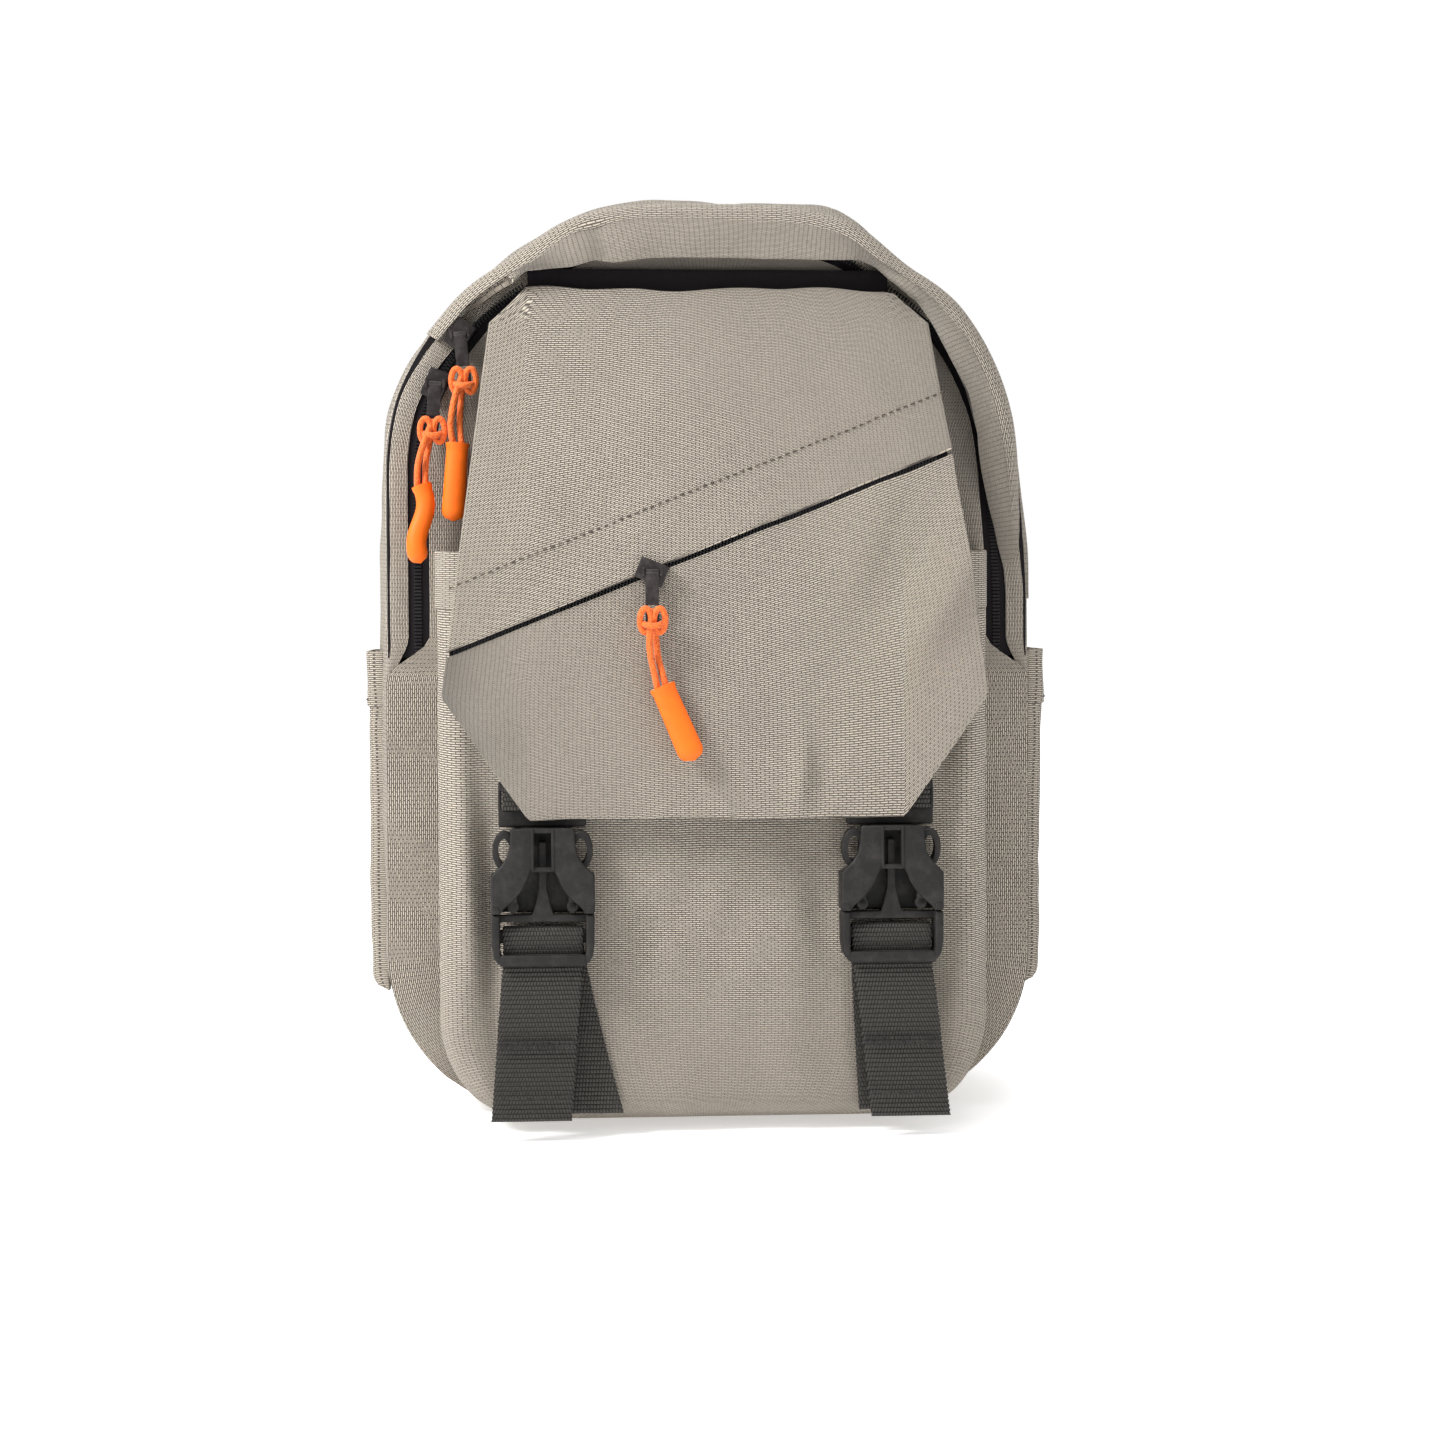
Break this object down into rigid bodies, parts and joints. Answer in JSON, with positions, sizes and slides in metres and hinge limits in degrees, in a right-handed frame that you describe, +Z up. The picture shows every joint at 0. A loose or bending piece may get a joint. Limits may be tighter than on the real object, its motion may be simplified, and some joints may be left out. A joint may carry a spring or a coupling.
{
  "type": "daypack",
  "caption": "Compact grey-beige daypack with an arched hood over the main zip, a buckled front flap with a diagonal zip pocket, and orange cord zip pulls",
  "frame": {"origin": "middle of the flat base of the main compartment, where the bag stands", "axes": "+Z up, the front faces -Y, +X to the right as seen from the front"},
  "size_m": [0.267, 0.1723, 0.3528],
  "materials": {
    "shell_fabric": "coarse plain-weave polyester, warm light grey",
    "lining_fabric": "black-brown lining cloth",
    "spacer_mesh": "black spacer mesh over foam",
    "zip_tape": "black woven zip tape",
    "zip_coil": "black nylon coil",
    "slider_metal": "black painted zinc",
    "pull_cord": "bright orange braided cord",
    "grip_rubber": "bright orange moulded rubber",
    "webbing": "black ribbed webbing",
    "buckle_plastic": "matt black acetal"
  },
  "bodies": {
    "root": {"back_pad": "spacer_mesh", "back_panel": "shell_fabric", "base_panel": "shell_fabric", "flap_top_binding": "shell_fabric", "front_panel": "shell_fabric", "front_pocket_gusset": "shell_fabric", "front_pocket_hem": "shell_fabric", "front_pocket_panel": "shell_fabric", "front_zip_tape": "zip_tape", "handle_anchor": "lining_fabric", "laptop_sleeve": "lining_fabric", "left_front_webbing": "webbing", "left_ladder_lock": "buckle_plastic", "left_lower_webbing": "webbing", "left_shoulder_strap": "spacer_mesh", "left_side_gusset": "shell_fabric", "left_side_pocket": "shell_fabric", "left_side_pocket_hem": "shell_fabric", "main_zip_coil": "zip_coil", "right_front_webbing": "webbing", "right_ladder_lock": "buckle_plastic", "right_lower_webbing": "webbing", "right_shoulder_strap": "spacer_mesh", "right_side_gusset": "shell_fabric", "right_side_pocket": "shell_fabric", "right_side_pocket_hem": "shell_fabric", "side_zip_tapes": "zip_tape", "strap_wings": "shell_fabric", "strap_yoke": "shell_fabric"},
    "hood": {"hood_top_gusset": "shell_fabric", "hood_zip_tape": "zip_tape", "hood_band": "shell_fabric"},
    "handle": {"haul_handle": "webbing"},
    "flap": {"flap_upper_panel": "shell_fabric", "flap_lower_panel": "shell_fabric", "flap_lining": "lining_fabric", "flap_zip_tape": "zip_tape", "flap_zip_coil": "zip_coil", "left_buckle_socket": "buckle_plastic", "right_buckle_socket": "buckle_plastic", "left_socket_webbing": "webbing", "right_socket_webbing": "webbing"},
    "flap_slider": {"flap_zip_slider": "slider_metal"},
    "flap_pull": {"flap_zip_tab": "slider_metal", "flap_pull_cord": "pull_cord", "flap_pull_grip": "grip_rubber"},
    "upper_slider": {"upper_zip_slider": "slider_metal"},
    "upper_pull": {"upper_zip_tab": "slider_metal", "upper_pull_cord": "pull_cord", "upper_pull_grip": "grip_rubber"},
    "lower_slider": {"lower_zip_slider": "slider_metal"},
    "lower_pull": {"lower_zip_tab": "slider_metal", "lower_pull_cord": "pull_cord", "lower_pull_grip": "grip_rubber"},
    "left_plug": {"left_plug_frame": "buckle_plastic"},
    "left_plug_left_arm": {"left_plug_left_arm": "buckle_plastic"},
    "left_plug_right_arm": {"left_plug_right_arm": "buckle_plastic"},
    "right_plug": {"right_plug_frame": "buckle_plastic"},
    "right_plug_left_arm": {"right_plug_left_arm": "buckle_plastic"},
    "right_plug_right_arm": {"right_plug_right_arm": "buckle_plastic"}
  },
  "joints": [
    {"name": "hood_hinge", "type": "hinge", "parent": "root", "child": "hood", "pos_m": [0, 0.0368, 0.3516], "axis": [-1, 0, 0], "range_deg": [0, 35]},
    {"name": "handle_hinge", "type": "hinge", "parent": "root", "child": "handle", "pos_m": [0, 0.044, 0.343], "axis": [1, 0, 0], "range_deg": [0, 120]},
    {"name": "flap_hinge", "type": "hinge", "parent": "root", "child": "flap", "pos_m": [0, -0.0278, 0.31785], "axis": [-1, 0, 0], "range_deg": [0, 80]},
    {"name": "flap_slider_slide", "type": "slide", "parent": "flap", "child": "flap_slider", "axis": [0.9291, 0.0416, 0.3676], "range_m": [-0.066, 0.008]},
    {"name": "flap_tab_hinge", "type": "hinge", "parent": "flap_slider", "child": "flap_pull", "pos_m": [-0.024, -0.0764, 0.21058], "axis": [-1, 0, 0], "range_deg": [0, 100]},
    {"name": "upper_slider_slide", "type": "slide", "parent": "root", "child": "upper_slider", "axis": [0.5736, 0.0571, 0.8172], "range_m": [0, 0.01]},
    {"name": "upper_tab_hinge", "type": "hinge", "parent": "upper_slider", "child": "upper_pull", "pos_m": [-0.0955, -0.02985, 0.29995], "axis": [-0.9945, -0.0073, -0.1043], "range_deg": [0, 80]},
    {"name": "lower_slider_slide", "type": "slide", "parent": "root", "child": "lower_slider", "axis": [-0.19, -0.0685, -0.9794], "range_m": [0, 0.036]},
    {"name": "lower_tab_hinge", "type": "hinge", "parent": "lower_slider", "child": "lower_pull", "pos_m": [-0.105, -0.03118, 0.281], "axis": [-0.9976, 0.0049, 0.0696], "range_deg": [0, 80]},
    {"name": "left_plug_release", "type": "slide", "parent": "root", "child": "left_plug", "axis": [0, -0.0698, -0.9976], "range_m": [0, 0.036], "deforming": ["left_front_webbing", "left_plug_left_arm", "left_plug_right_arm"]},
    {"name": "left_right_arm_squeeze", "type": "hinge", "parent": "left_plug", "child": "left_plug_right_arm", "pos_m": [-0.054, -0.08024, 0.08675], "axis": [0, -0.9976, 0.0698], "range_deg": [0, 6], "stiffness_Nm_per_rad": 0.05},
    {"name": "left_left_arm_squeeze", "type": "hinge", "parent": "left_plug", "child": "left_plug_left_arm", "pos_m": [-0.076, -0.08024, 0.08675], "axis": [0, 0.9976, -0.0698], "range_deg": [0, 6], "stiffness_Nm_per_rad": 0.05},
    {"name": "right_plug_release", "type": "slide", "parent": "root", "child": "right_plug", "axis": [0, -0.0698, -0.9976], "range_m": [0, 0.036], "deforming": ["right_front_webbing", "right_plug_left_arm", "right_plug_right_arm"]},
    {"name": "right_right_arm_squeeze", "type": "hinge", "parent": "right_plug", "child": "right_plug_right_arm", "pos_m": [0.076, -0.08024, 0.08675], "axis": [0, -0.9976, 0.0698], "range_deg": [0, 6], "stiffness_Nm_per_rad": 0.05},
    {"name": "right_left_arm_squeeze", "type": "hinge", "parent": "right_plug", "child": "right_plug_left_arm", "pos_m": [0.054, -0.08024, 0.08675], "axis": [0, 0.9976, -0.0698], "range_deg": [0, 6], "stiffness_Nm_per_rad": 0.05}
  ],
  "couplings": [
    {"joint": "left_left_arm_squeeze", "follows": "left_right_arm_squeeze", "ratio": 1},
    {"joint": "right_left_arm_squeeze", "follows": "right_right_arm_squeeze", "ratio": 1}
  ]
}
